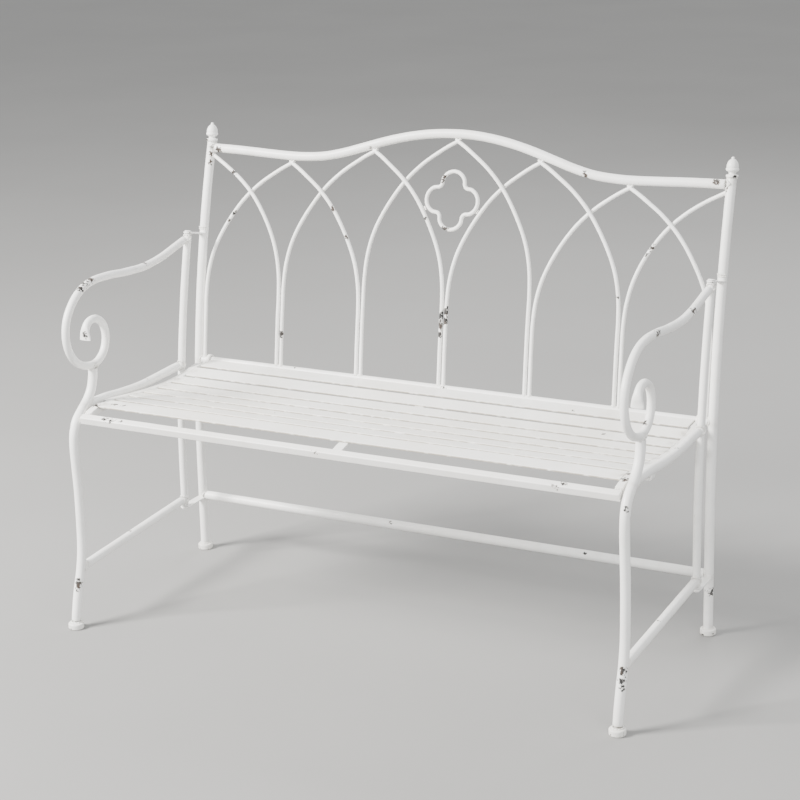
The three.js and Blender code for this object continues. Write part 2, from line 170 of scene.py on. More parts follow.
def sweepMesh(path, profile, side, closed=False, scaleA=None, scaleB=None, edge=0.0009, seed=1, rough=0.00012,
              roughSize=0.045):
    # profile: points (a, b) in metres, a along the side vector. Open sweeps get softly rounded ends
    profile = np.asarray(profile, float)
    tangent, across, up = framesAlong(path, side, closed)
    n, m = len(path), len(profile)
    a = np.ones(n) if scaleA is None else np.asarray(scaleA, float)
    b = np.ones(n) if scaleB is None else np.asarray(scaleB, float)
    rings = []
    ends = [] if closed else [(0.0, 0.35), (0.3, 0.72), (0.62, 0.93), (0.85, 0.995)]
    reach = np.abs(profile).max()

    def ring(point, i, shrink, slide):
        inset = 1 - edge * (1 - shrink) / reach
        p = profile * inset
        return point + across[i] * (p[:, :1] * a[i]) + up[i] * (p[:, 1:] * b[i]) + tangent[i] * slide

    if not closed:
        for share, shrink in ends:
            rings.append(ring(path[0], 0, shrink, edge * share))
    for i in range(0 if closed else 1, n if closed else n - 1):
        rings.append(ring(path[i], i, 1, 0))
    if not closed:
        for share, shrink in reversed(ends):
            rings.append(ring(path[-1], n - 1, shrink, -edge * share))
    verts = np.concatenate(rings)
    centres = np.repeat([r.mean(0) for r in rings], m, 0)
    outward = verts - centres
    outward /= np.maximum(1e-9, np.linalg.norm(outward, axis=1))[:, None]
    verts = verts + outward * wobble(verts, roughSize, rough, seed)[:, None]
    count = len(rings)
    faces = ringFaces(count, m, closed)
    if not closed:
        first, last = list(range(m)), list(range((count - 1) * m, count * m))
        faces += [tuple(reversed(first)), tuple(last)]
    return verts, faces


def circle(radius, sides):
    t = np.arange(sides) / sides * 2 * math.pi
    return np.stack([radius * np.cos(t), radius * np.sin(t)], 1)


def roundedBox(width, height, corner, along=3, turn=4):
    # a rectangle with round corners; width lies on a, height on b
    out = []
    w, h = width / 2 - corner, height / 2 - corner
    for k, (sx, sy) in enumerate(((1, 1), (-1, 1), (-1, -1), (1, -1))):
        for i in range(turn + 1):
            t = math.pi / 2 * (k + i / turn)
            out.append((sx * w + corner * math.cos(t), sy * h + corner * math.sin(t)))
        nx, ny = ((-1, 1), (-1, -1), (1, -1), (1, 1))[k]
        start = out[-1]
        t = math.pi / 2 * (k + 1)
        end = (nx * w + corner * math.cos(t), ny * h + corner * math.sin(t))
        shares = [0.06, 0.5, 0.94] if along <= 3 else [0.03] + list(np.linspace(0.12, 0.88, along - 2)) + [0.97]
        for s in shares:
            out.append((start[0] + (end[0] - start[0]) * s, start[1] + (end[1] - start[1]) * s))
    return np.array(out)


def latheMesh(profile, sides, place=Matrix.Identity(4), seed=3, rough=0.00008):
    # profile: (radius, height) from the lower pole to the upper one, in metres
    inner = profile[1:-1]
    verts = [(0, 0, profile[0][1])]
    for r, h in inner:
        for j in range(sides):
            t = 2 * math.pi * j / sides
            verts.append((r * math.cos(t), r * math.sin(t), h))
    verts.append((0, 0, profile[-1][1]))
    verts = np.array(verts)
    n = len(inner)
    faces = [(0, 1 + (j + 1) % sides, 1 + j) for j in range(sides)]
    for f in ringFaces(n, sides):
        faces.append(tuple(v + 1 for v in f))
    base = 1 + (n - 1) * sides
    faces += [(base + j, base + (j + 1) % sides, len(verts) - 1) for j in range(sides)]
    out = verts.copy()
    out[:, :2] = 0
    out = verts - out
    length = np.maximum(1e-9, np.linalg.norm(out, axis=1))[:, None]
    verts = verts + out / length * wobble(verts, 0.02, rough, seed)[:, None]
    m = np.array(place)
    verts = verts @ m[:3, :3].T + m[:3, 3]
    return verts, faces


def roundProfile(points, step=0.0006):
    # a lathe outline in mm with its corners softened
    p = np.array([(r, h, 0) for r, h in points]) / 1000
    fine = smoothPath(p, step)
    fine[:, 0] = np.maximum(fine[:, 0], 0)
    keep = fine[:, :2]
    keep[0, 0] = keep[-1, 0] = 0
    return [tuple(v) for v in keep]


# ---- paint ----

def mathNode(nodes, links, kind, a, b=None, clamp=False):
    node = nodes.new("ShaderNodeMath")
    node.operation = kind
    node.use_clamp = clamp
    for slot, value in enumerate((a, b)):
        if value is None:
            continue
        if isinstance(value, (int, float)):
            node.inputs[slot].default_value = value
        else:
            links.new(value, node.inputs[slot])
    return node.outputs[0]


def mixColour(nodes, links, share, a, b):
    node = nodes.new("ShaderNodeMix")
    node.data_type = "RGBA"
    links.new(share, node.inputs["Factor"])
    for slot, value in (("A", a), ("B", b)):
        socket = [s for s in node.inputs if s.name == slot and s.type == "RGBA"][0]
        if isinstance(value, tuple):
            socket.default_value = (*value, 1)
        else:
            links.new(value, socket)
    return [s for s in node.outputs if s.type == "RGBA"][0]


def noiseNode(nodes, links, where, scale, detail, roughness=0.5):
    node = nodes.new("ShaderNodeTexNoise")
    node.inputs["Scale"].default_value = scale
    node.inputs["Detail"].default_value = detail
    node.inputs["Roughness"].default_value = roughness
    links.new(where, node.inputs["Vector"])
    return node.outputs["Fac"]


def stepNode(nodes, links, value, low, high):
    node = nodes.new("ShaderNodeMapRange")
    node.interpolation_type = "SMOOTHSTEP"
    node.inputs["From Min"].default_value = low
    node.inputs["From Max"].default_value = high
    links.new(value, node.inputs["Value"])
    return node.outputs["Result"]


def makePaint(look):
    material = bpy.data.materials.new(look["name"])
    material.use_nodes = True
    nodes, links = material.node_tree.nodes, material.node_tree.links
    shader = nodes["Principled BSDF"]
    coords = nodes.new("ShaderNodeTexCoord")
    where = coords.outputs["Object"]
    broad = noiseNode(nodes, links, where, 5.5, 3)
    cloudy = noiseNode(nodes, links, where, 38, 4)
    fine = noiseNode(nodes, links, where, 420, 3)
    peel = noiseNode(nodes, links, where, 1500, 1)
    flake = noiseNode(nodes, links, where, 210, 5, 0.62)
    patch = noiseNode(nodes, links, where, 60, 3)
    chipNear = nodes.new("ShaderNodeAttribute")
    chipNear.attribute_name = "chips"
    grimeShadeNear = nodes.new("ShaderNodeAttribute")
    grimeShadeNear.attribute_name = "grime_and_shade"

    # chips: small flakes that come only near the worn spots, and a very few elsewhere
    wear = mathNode(nodes, links, "MULTIPLY", chipNear.outputs["Fac"], look["chipGain"])
    level = mathNode(nodes, links, "ADD", flake, wear)
    level = mathNode(nodes, links, "ADD", level, mathNode(nodes, links, "MULTIPLY", patch, 0.16))
    chip = stepNode(nodes, links, level, look["chipLevel"], look["chipLevel"] + 0.022)
    halo = stepNode(nodes, links, level, look["chipLevel"] - 0.045, look["chipLevel"] + 0.01)

    tint = stepNode(nodes, links, broad, 0.34, 0.68)
    colour = mixColour(nodes, links, tint, look["light"], look["warm"])
    mottle = stepNode(nodes, links, cloudy, 0.46, 0.78)
    colour = mixColour(nodes, links, mathNode(nodes, links, "MULTIPLY", mottle, 0.4), colour, look["dull"])
    # dirt near the tube joints, and painted shade where the slat ends meet the end bars: both darken the paint
    # towards a brownish grey
    dirtAndShade = mathNode(nodes, links, "MULTIPLY", grimeShadeNear.outputs["Fac"], stepNode(nodes, links, patch, 0.34, 0.66))
    dirtAndShade = mathNode(nodes, links, "MULTIPLY", dirtAndShade, look["grime_and_shade"])
    colour = mixColour(nodes, links, dirtAndShade, colour, (0.33, 0.30, 0.25))
    if "frontFaceShade" in look:
        # painted shade: the front faces that look forward and down, the narrow slat edges seen in the seams, are
        # darkened towards a brownish grey, patchy with noise
        facing = nodes.new("ShaderNodeVectorMath")
        facing.operation = "DOT_PRODUCT"
        facing.inputs[1].default_value = (0, -0.94, -0.34)
        links.new(coords.outputs["Normal"], facing.inputs[0])
        shadedFace = stepNode(nodes, links, facing.outputs["Value"], 0.45, 0.85)
        amount = mathNode(nodes, links, "MULTIPLY", shadedFace, stepNode(nodes, links, patch, 0.25, 0.55))
        amount = mathNode(nodes, links, "MULTIPLY", amount, look["frontFaceShade"])
        colour = mixColour(nodes, links, amount, colour, (0.34, 0.30, 0.235))
    speck = stepNode(nodes, links, fine, 0.69, 0.75)
    colour = mixColour(nodes, links, mathNode(nodes, links, "MULTIPLY", speck, 0.22), colour, (0.52, 0.49, 0.43))
    colour = mixColour(nodes, links, mathNode(nodes, links, "MULTIPLY", halo, 0.45), colour, (0.42, 0.38, 0.32))
    rust = stepNode(nodes, links, cloudy, 0.4, 0.6)
    metal = mixColour(nodes, links, rust, (0.018, 0.017, 0.017), (0.05, 0.036, 0.028))
    colour = mixColour(nodes, links, chip, colour, metal)
    links.new(colour, shader.inputs["Base Color"])

    gloss = nodes.new("ShaderNodeMapRange")
    gloss.inputs["From Min"].default_value = 0.3
    gloss.inputs["From Max"].default_value = 0.7
    gloss.inputs["To Min"].default_value = look["gloss"] - 0.07
    gloss.inputs["To Max"].default_value = look["gloss"] + 0.09
    links.new(cloudy, gloss.inputs["Value"])
    bare = mathNode(nodes, links, "MULTIPLY", chip, 0.28)
    rough = mathNode(nodes, links, "ADD", gloss.outputs["Result"], bare, True)
    links.new(rough, shader.inputs["Roughness"])
    shader.inputs["IOR"].default_value = 1.5
    shader.inputs["Specular IOR Level"].default_value = 0.5

    height = mathNode(nodes, links, "MULTIPLY", peel, 0.16)
    height = mathNode(nodes, links, "ADD", height, mathNode(nodes, links, "MULTIPLY", fine, 0.35))
    height = mathNode(nodes, links, "ADD", height, mathNode(nodes, links, "MULTIPLY", cloudy, 1.5))
    height = mathNode(nodes, links, "SUBTRACT", height, mathNode(nodes, links, "MULTIPLY", chip, 1.6))
    bump = nodes.new("ShaderNodeBump")
    bump.inputs["Strength"].default_value = look["relief"]
    bump.inputs["Distance"].default_value = 0.0002
    links.new(height, bump.inputs["Height"])
    links.new(bump.outputs["Normal"], shader.inputs["Normal"])
    return material


framePaint = makePaint({
    "name": "frame paint", "light": (0.88, 0.875, 0.855), "warm": (0.85, 0.84, 0.81), "dull": (0.74, 0.725, 0.69),
    "chipGain": 0.37, "chipLevel": 0.815, "grime_and_shade": 0.55, "gloss": 0.4, "relief": 0.5,
})
seatPaint = makePaint({
    "name": "seat paint", "light": (0.87, 0.86, 0.83), "warm": (0.83, 0.81, 0.765), "dull": (0.73, 0.705, 0.655),
    "chipGain": 0.37, "chipLevel": 0.815, "grime_and_shade": 0.6, "gloss": 0.42, "relief": 0.55,
})
# the slat paint also carries painted shade on the slats' forward- and downward-facing front faces
slatPaint = makePaint({
    "name": "slat paint", "light": (0.87, 0.86, 0.82), "warm": (0.82, 0.795, 0.735), "dull": (0.73, 0.705, 0.65),
    "chipGain": 0.37, "chipLevel": 0.815, "grime_and_shade": 0.7, "gloss": 0.42, "relief": 0.55, "frontFaceShade": 0.8,
})
rodPaint = makePaint({
    "name": "rod paint", "light": (0.87, 0.865, 0.845), "warm": (0.84, 0.83, 0.80), "dull": (0.73, 0.71, 0.675),
    "chipGain": 0.38, "chipLevel": 0.815, "grime_and_shade": 0.55, "gloss": 0.4, "relief": 0.45,
})
footPaint = makePaint({
    "name": "foot paint", "light": (0.80, 0.79, 0.76), "warm": (0.76, 0.745, 0.70), "dull": (0.66, 0.64, 0.59),
    "chipGain": 0.24, "chipLevel": 0.82, "grime_and_shade": 0.8, "gloss": 0.46, "relief": 0.6,
})
weldPaint = makePaint({
    "name": "weld paint", "light": (0.80, 0.79, 0.76), "warm": (0.765, 0.75, 0.71), "dull": (0.67, 0.65, 0.60),
    "chipGain": 0.22, "chipLevel": 0.82, "grime_and_shade": 0.5, "gloss": 0.44, "relief": 0.8,
})


def place(obj, node, body, slotName):
    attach(obj, body)
    if node:
        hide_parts(node)
    return obj


def spotsOn(path, places):
    # worn spots given as (share along the path, reach in mm, push to a side in mm)
    out = []
    for share, reach, push in places:
        at = path[int(round(share * (len(path) - 1)))]
        out.append((at[0] + push[0] / 1000, at[1] + push[1] / 1000, at[2] + push[2] / 1000, reach / 1000))
    return out


tubes = {}


def addTube(node, path, look, side=(1, 0, 0), scaleA=None, scaleB=None, closed=False):
    verts, faces = sweepMesh(
        path, circle(look["radius"] / 1000, look["sides"]), side, closed, scaleA, scaleB,
        look.get("edge", 0.9) / 1000, look.get("seed", 5), look.get("rough", 0.13) / 1000, 0.05,
    )
    chips = spotsOn(path, look.get("chips", ()))
    obj = addMesh(node + "_tube", verts, faces, look["paint"], chips)
    place(obj, node, look["body"], look["slot"])
    tubes[node] = path
    return obj


# ---- welds ----

weldCount = [0]


def beadAlong(points, radius, closed, body, seed, slotName="frame_paint", ripple=0.28, paint=None):
    # a lumpy weld bead that follows a line of points, in metres
    weldCount[0] += 1
    line = evenPath(np.concatenate([points, points[:1]]) if closed else points, radius * 0.42, closed)
    n = len(line)
    r = np.random.default_rng(seed + weldCount[0])
    s = np.arange(n) / n
    size = 1 + ripple * 0.5 * np.sin(s * 2 * math.pi * max(2, n // 7) + r.uniform(0, 6)) + r.normal(0, 0.05, n)
    size += 0.15 * np.sin(s * 2 * math.pi * 3 + r.uniform(0, 6))
    if not closed:
        size *= np.clip(np.minimum(s, 1 - s) * 9, 0.25, 1)
    side = (0.3, 0.2, 0.93)
    bead = circle(radius, 10)
    verts, faces = sweepMesh(line, bead, side, closed, size, size, radius * 0.5, seed, radius * 0.12, 0.004)
    obj = addMesh(f"weld_bead_{weldCount[0]:02d}", verts, faces, paint or weldPaint)
    place(obj, None, body, slotName)
    return obj


def weldRing(centre, axis, radius, onto, ontoAxis, ontoRadius, bead, seed):
    # where a tube meets another: the curve of their crossing. axis points into the other tube
    centre, axis = np.asarray(centre, float), np.asarray(axis, float)
    axis = axis / np.linalg.norm(axis)
    guide = np.array([0, 0, 1.0]) if abs(axis[2]) < 0.9 else np.array([1.0, 0, 0])
    u = np.cross(axis, guide)
    u /= np.linalg.norm(u)
    v = np.cross(axis, u)
    b = np.asarray(ontoAxis, float)
    b = b / np.linalg.norm(b)
    q = np.asarray(onto, float)
    out = []
    for t in np.linspace(0, 2 * math.pi, 60, endpoint=False):
        start = centre + (u * math.cos(t) + v * math.sin(t)) * (radius + bead * 0.15)
        d = start - q
        dp = d - b * (d @ b)
        ap = axis - b * (axis @ b)
        qa, qb, qc = ap @ ap, 2 * dp @ ap, dp @ dp - (ontoRadius + bead * 0.1) ** 2
        disc = qb * qb - 4 * qa * qc
        s = (-qb - math.sqrt(disc)) / (2 * qa) if disc > 0 else -qb / (2 * qa)
        out.append(start + axis * s)
    spots.welds.append(tuple(q))
    return beadAlong(np.array(out), bead, True, "frame", seed)


# ---- tubes of the back ----

def postPath(side, low, high, lead=None, count=14):
    z = low + (high - low) * np.arange(count + 1) / count
    y = backY(z) - (lead(z) if lead else 0)
    return row(np.stack([np.full(len(z), side * halfSpan), y, z], 1))


topRailShape = [
    (0, 955), (52, 952.5), (105, 945.1), (157.5, 933.3), (210, 918), (262.5, 902.5), (304.5, 893.3),
    (341, 889.7), (378, 888.5), (441, 890), (505, 892.5), (588, 894),
]
railX = np.array([-x for x, z in topRailShape[:0:-1]] + [x for x, z in topRailShape])
railZ = np.array([z for x, z in topRailShape[:0:-1]] + [z for x, z in topRailShape])
topRailFull = smoothPath(row(np.stack([railX, backY(railZ), railZ], 1)), 0.004)
hinge = row([0, backY(backRailHeight), backRailHeight])

# every joint of two tubes, listed first so that the paint knows where to gather grime
for sx in (-1, 1):
    for y, z in (
        (backY(894), 894), (backY(backRailHeight), backRailHeight), (2, stretcherHeight), (-62, 446), (-424, 454),
        (-74, 143), (-457, 124), (-381, 530), (-14, 716), (backY(720), 722), (2, 17), (-491, 17),
        (backY(postTop), 906),
    ):
        spots.welds.append(tuple(row([sx * halfSpan, y, z])))

posts = {
    "left": {"radius": 9.5, "sides": 40, "seed": 21, "paint": framePaint, "body": "frame", "slot": "frame_paint",
             "chips": [(0.972, 9, (5, -6, 0)), (0.955, 7, (5, -7, 0)), (0.986, 6, (4, -6, 0))]},
    "right": {"radius": 9.5, "sides": 40, "seed": 22, "paint": framePaint, "body": "frame", "slot": "frame_paint",
              "chips": [(0.087, 11, (6, -5, 0)), (0.98, 7, (-6, -6, 0))]},
}
for sx, side in ((-1, "left"), (1, "right")):
    addTube(f"{side}_back_post", smoothPath(postPath(sx, 16.2, postTop), 0.006), posts[side])

topRail = {"radius": 9.3, "sides": 36, "seed": 23, "paint": framePaint, "body": "frame", "slot": "frame_paint",
           "chips": [(0.010, 10, (0, -7, -3)), (0.752, 9, (0, -6, -2)), (0.985, 9, (0, -6, 5)),
                     (0.33, 5, (0, -6, -5))]}
inner = topRailFull[(np.abs(topRailFull[:, 0]) < (halfSpan - 9.0) / 1000)]
addTube("top_rail", inner, topRail, (0, 0, 1))

backRail = {"radius": 7.9, "sides": 36, "seed": 24, "paint": framePaint, "body": "frame", "slot": "frame_paint",
            "chips": [(0.508, 6, (0, -5, 5)), (0.2, 4, (0, -3, 6))]}
reach = (halfSpan - 8.6) / 1000
line = np.array([[-reach, hinge[1], hinge[2]], [reach, hinge[1], hinge[2]]])
addTube("back_rail", evenPath(line, 0.006), backRail, (0, 0, 1))

backStretcher = {"radius": 9.5, "sides": 36, "seed": 25, "paint": framePaint, "body": "frame", "slot": "frame_paint",
                 "chips": [(0.4, 5, (0, -6, 5)), (0.78, 5, (0, -6, 5))]}
low = row([[-halfSpan + 8.9, 3, stretcherHeight], [halfSpan - 8.9, 3, stretcherHeight]])
addTube("back_stretcher", evenPath(low, 0.006), backStretcher, (0, 0, 1))
print("rails and posts made")

# ---- arches ----

archShape = [(0, 0), (0.1, 10), (0.2, 21), (0.4, 47), (0.6, 83), (0.8, 137), (0.92, 187), (0.98, 235), (1, 285)]
apexX = [-578, -383, -188, 0, 188, 383, 578]
archDepth = [0.94, 1.03, 1.06, 1.045, 1.06, 1.03, 0.94]


def archPoints(start, end):
    x0 = apexX[start]
    rail = np.interp(abs(x0), [x for x, z in topRailShape], [z for x, z in topRailShape])
    z0 = rail - (16 if start in (0, 6) else 14.5)
    if end in (0, 6):
        x1 = -573 if end == 0 else 573
    else:
        x1 = (end - 3) * 193.5 + (-5.5 if start < end else 5.5)
    bow = -4.25 if start < end else 4.25
    points = []
    for share, drop in archShape:
        z = z0 - drop * (1 + (archDepth[start] - 1) * min(1, share * 5) * min(1, (1.25 - share) * 2))
        lift = bow * min(1, max(0, 1 - abs(share - 0.5) / 0.5) * 2.2)
        points.append([x0 + (x1 - x0) * share, float(backY(z)) + lift, z])
    lean = np.array(points[0]) - np.array(points[1])
    trim = 7.2 if start in (0, 6) else 5.0
    points.insert(0, list(np.array(points[0]) + lean / np.linalg.norm(lean) * trim))
    last = z0 - 285
    for i in range(1, 5):
        z = last + (442 - last) * i / 4
        points.append([x1, float(backY(z)), z])
    points[-1][2] = 447.6
    return row(points)


rod = {"radius": 4.0, "sides": 22, "paint": rodPaint, "body": "frame", "slot": "frame_paint",
       "rough": 0.1, "edge": 0.5}
rodChips = {
    1: [(0.145, 8, (-1, -4, 2))],
    2: [(0.36, 7, (2, -4, 0)), (0.40, 6, (2, -4, 0))],
    3: [(0.29, 8, (0, -4, 1)), (0.42, 6, (1, -4, 0))],
    4: [(0.87, 8, (0, -4, 0)), (0.885, 6, (0, -4, 0))],
    5: [(0.73, 12, (0, -4, 0)), (0.77, 12, (-2, -4, 0)), (0.81, 10, (-2, -4, 0)), (0.36, 6, (0, -4, 0))],
    8: [(0.72, 12, (2, -4, 0)), (0.75, 12, (0, -4, 0))],
    9: [(0.6, 5, (0, -4, 0))],
    12: [(0.37, 8, (0, -4, 0)), (0.4, 6, (0, -4, 0))],
}
number = 0
rods = {}
for k in range(6):
    for start, end in ((k, k + 1), (k + 1, k)):
        number += 1
        path = smoothPath(archPoints(start, end), 0.005)
        rods[number] = path
        look = dict(rod, seed=30 + number, chips=rodChips.get(number, ()))
        addTube(f"arch_rod_{number:02d}", path, look, (0, 1, 0))

# four round lobes, bent from one rod and welded between the middle arches
quatrefoil = {
    "radius": 4.0, "sides": 22, "seed": 51, "rough": 0.1, "height": 823, "spread": 32, "bend": 26,
    "chips": [(-25, 864, 8), (-21, 870, 6), (-9, 766, 9)],
}
lobePoints = []
spread, bend = quatrefoil["spread"], quatrefoil["bend"]
half = math.pi - math.acos((spread - 24.6) / bend)
for lobe in range(4):
    facing = lobe * math.pi / 2
    for i in range(8):
        turn = facing - half + (i + 0.5) / 8 * half * 2
        x = spread * math.cos(facing) + bend * math.cos(turn)
        z = quatrefoil["height"] + spread * math.sin(facing) + bend * math.sin(turn)
        lobePoints.append([x, float(backY(z)), z])
ring = smoothPath(row(lobePoints), 0.003, True)
verts, faces = sweepMesh(
    ring, circle(quatrefoil["radius"] / 1000, quatrefoil["sides"]), (0, 1, 0), True,
    rough=quatrefoil["rough"] / 1000, seed=quatrefoil["seed"],
)
ringChips = [(*row([x, backY(z) - 4, z]), reach / 1000) for x, z, reach in quatrefoil["chips"]]
place(addMesh("quatrefoil_ring", verts, faces, rodPaint, ringChips), "quatrefoil", "frame", "frame_paint")
print("arches made:", number, "rods")

# ---- side frames ----

armPoints = [
    (-14, 716.5), (-52, 709), (-116, 696), (-178, 690.5), (-247, 694), (-315, 701), (-368, 701.5),
    (-407, 692), (-438, 671), (-459, 642), (-465, 609), (-457, 577), (-436, 551), (-404, 535),
    (-368, 533), (-341, 550), (-331, 579), (-339, 607), (-364, 623.5), (-388, 621), (-400, 606),
]
legPoints = [
    (-381, 530), (-384, 505), (-391, 484), (-406, 465), (-427, 449), (-447, 432), (-457, 410),
    (-460, 385), (-458, 338), (-455, 289), (-454, 231), (-456, 163), (-464, 120), (-476, 82),
    (-484, 50), (-489, 24), (-491, 8),
]
seatRailPoints = [
    (-62, 446), (-110, 445), (-158, 443.5), (-220, 442.5), (-283, 446.5), (-340, 452.5),
    (-378, 454.5), (-424, 454.5),
]


def sidePath(sx, points):
    return row([[sx * halfSpan, y, z] for y, z in points])


def uprightLead(z):
    return 74 + (66 - 74) * np.clip((np.asarray(z, float) - 300) / 421.5, 0, 1)


arms = {
    "left": {"chips": [(0.425, 11, (-1, -7, 4)), (0.445, 11, (0, -8, 3)), (0.465, 11, (1, -8, 1)),
                       (0.19, 8, (-1, -5, 6)), (0.985, 8, (2, -4, -2))]},
    "right": {"chips": [(0.125, 9, (5, -5, 2)), (0.11, 6, (5, -5, 2)), (0.36, 9, (5, -5, 2)),
                        (0.345, 7, (5, -5, 4)), (0.80, 8, (-4, -6, 2))]},
}
legs = {
    "left": {"chips": [(0.245, 6, (-6, -5, 0)), (0.86, 9, (3, -8, 0)), (0.84, 7, (1, -8, 0)), (0.88, 6, (2, -8, 0))]},
    "right": {"chips": [(0.25, 7, (4, -8, 0)), (0.815, 9, (4, -8, 0)), (0.85, 9, (3, -8, 0)), (0.87, 6, (5, -8, 0))]},
}
for sx, side in ((-1, "left"), (1, "right")):
    tube = {"sides": 36, "paint": framePaint, "body": "frame", "slot": "frame_paint"}
    top = 721.5
    upright = evenPath(smoothPath(postPath(sx, 131, top, uprightLead), 0.006), 0.006)
    addTube(f"{side}_rear_upright", upright, dict(tube, radius=7.95, seed=61 + sx))

    # the arm's tube runs round the scroll and ends in a hammered, widened tongue
    full = smoothPath(sidePath(sx, armPoints[:-1] + [(-400, 606), (-400.3, 596), (-400.6, 587.2)]), 0.0035)
    run = np.concatenate([[0], np.cumsum(np.linalg.norm(np.diff(full, axis=0), axis=1))])
    left = run[-1] - run
    keep = run > 0.0075
    t = np.clip(1 - left / 0.034, 0, 1)
    t = t * t * (3 - 2 * t)
    wide, flatTo = 1 + t * 0.62, 1 - t * 0.68
    addTube(f"{side}_arm", full[keep], dict(tube, radius=8, seed=64 + sx, chips=arms[side]["chips"], edge=1.2),
            (1, 0, 0), wide[keep], flatTo[keep])

    leg = smoothPath(sidePath(sx, legPoints), 0.006)
    leg = leg[(leg[:, 2] > 0.0135) & (leg[:, 2] < row([0, 0, 526.5])[2])]
    addTube(f"{side}_front_leg", leg, dict(tube, radius=9.5, seed=67 + sx, chips=legs[side]["chips"]))

    rail = smoothPath(sidePath(sx, seatRailPoints), 0.006)
    ys = rail[:, 1] - shiftY
    rail = rail[(ys < -0.0695) & (ys > -0.412)]
    addTube(f"{side}_seat_rail", rail, dict(tube, radius=9, seed=70 + sx, chips=[(0.35, 5, (0, 0, 8))]))

    ends = sidePath(sx, [(-74, 143), (-457, 124)])
    stretcher = evenPath(ends, 0.006)
    ys = stretcher[:, 1] - shiftY
    stretcher = stretcher[(ys < -0.0815) & (ys > -0.447)]
    addTube(f"{side}_side_stretcher", stretcher, dict(tube, radius=9, seed=73 + sx, chips=[(0.55, 5, (0, 0, 8))]))
print("side frames made")

# ---- finials, feet, lugs and pins ----

finial = {
    "outline": [
        (0, 0), (8, 0), (11.4, 0.1), (12, 0.8), (12.1, 2.2), (11.9, 3.6), (11.2, 4.5), (8.6, 5.0), (7.1, 6.0),
        (6.7, 7.6), (7.3, 9.2), (9.4, 10.8), (11.9, 12.6), (12.7, 14.2), (12.75, 15.6), (12.2, 17.2), (11.4, 17.9),
        (11.3, 18.3), (11.6, 20), (11.4, 23), (10.7, 26), (9.4, 29), (7.4, 31.9), (5.0, 34.1), (3.4, 35.2),
        (2.9, 36.0), (3.0, 36.9), (3.1, 37.7), (2.6, 38.7), (1.2, 39.3), (0, 39.4),
    ],
    "sides": 48,
}
for sx, side in ((-1, "left"), (1, "right")):
    lean = Matrix.Rotation(-math.atan(0.12), 4, "X")
    spot = row([sx * halfSpan, float(backY(905)) + 0.6, 908])
    turn = Matrix.Translation(Vector(spot)) @ lean
    verts, faces = latheMesh(roundProfile(finial["outline"]), finial["sides"], turn, 81 + sx)
    chips = [(spot[0] + 0.008 * sx, spot[1] - 0.008, spot[2] + 0.002, 0.006)]
    place(addMesh(f"{side}_acorn_finial", verts, faces, framePaint, chips), f"{side}_finial", "frame", "frame_paint")

foot = {
    "outline": [
        (0, 0), (9, 0), (13.6, 0.0), (14.9, 0.5), (15.7, 1.4), (16, 2.6), (16, 5.5), (15.95, 9.2), (15.6, 10.8),
        (14.8, 12.0), (13.4, 12.7), (11.6, 12.95), (9, 13), (4, 13), (0, 13),
    ],
    "sides": 56,
}
feet = {"left_front": (-1, -491), "right_front": (1, -491), "left_back": (-1, 2), "right_back": (1, 2)}
for label, (sx, y) in feet.items():
    spot = row([sx * halfSpan, y, 3])
    outline = roundProfile(foot["outline"], 0.0009)
    verts, faces = latheMesh(outline, foot["sides"], Matrix.Translation(Vector(spot)), 85, 0.00012)
    verts[:, 2] = np.maximum(verts[:, 2], 0)
    chips = [(spot[0] + 0.011 * a, spot[1] - 0.012 * b, 0.003, 0.007) for a, b in ((1, 0.7), (-0.6, 1.1))]
    place(addMesh(f"{label}_puck", verts, faces, footPaint, chips), f"{label}_foot", "frame", "foot_paint")


def plateMesh(outline, thick, soft, placeMatrix):
    # an outline in the XY plane, raised by thick, with softened edges
    p = np.asarray(outline, float)
    nxt, prv = np.roll(p, -1, 0), np.roll(p, 1, 0)
    edge = nxt - prv
    normal = np.stack([edge[:, 1], -edge[:, 0]], 1)
    normal /= np.linalg.norm(normal, axis=1)[:, None]
    area = 0.5 * np.sum(p[:, 0] * nxt[:, 1] - nxt[:, 0] * p[:, 1])
    if area < 0:
        p, normal = p[::-1], -normal[::-1]
    rings = []
    for inset, z in ((soft * 2.4, 0), (soft, 0), (soft * 0.3, soft * 0.3), (0, soft), (0, thick - soft),
                     (soft * 0.3, thick - soft * 0.3), (soft, thick), (soft * 2.4, thick)):
        ringPoints = p - normal * inset
        rings.append(np.column_stack([ringPoints, np.full(len(p), z)]))
    verts = np.concatenate(rings)
    m = len(p)
    faces = ringFaces(len(rings), m)
    faces += [tuple(reversed(range(m))), tuple(range((len(rings) - 1) * m, len(rings) * m))]
    t = np.array(placeMatrix)
    return verts @ t[:3, :3].T + t[:3, 3], faces


def lugOutline(halfWidth, back, front):
    points = [(-halfWidth, back), (-halfWidth * 0.5, back), (0, back), (halfWidth * 0.5, back), (halfWidth, back)]
    for y in np.linspace(back, front, 12)[1:-1]:
        points.append((halfWidth, y))
    for i in range(0, 21):
        a = math.pi * i / 20
        points.append((halfWidth * math.cos(a), front - halfWidth * math.sin(a)))
    for y in np.linspace(front, back, 12)[1:-1]:
        points.append((-halfWidth, y))
    return np.array(points) / 1000


pinOutline = [
    (0, -18), (2.4, -18), (3.5, -17.8), (3.95, -17), (4, -12), (4, -4), (4, 6.8), (4.05, 7.45), (4.6, 7.5),
    (6.9, 7.5), (7.5, 7.8), (7.6, 8.4), (7.3, 9.1), (6.2, 9.9), (4.2, 10.3), (1.8, 10.4), (0, 10.4),
]
washerOutline = [(4.3, 0.2), (8.3, 0.2), (8.7, 0.5), (8.8, 1.3), (8.7, 2.2), (8.3, 2.5), (4.3, 2.5)]


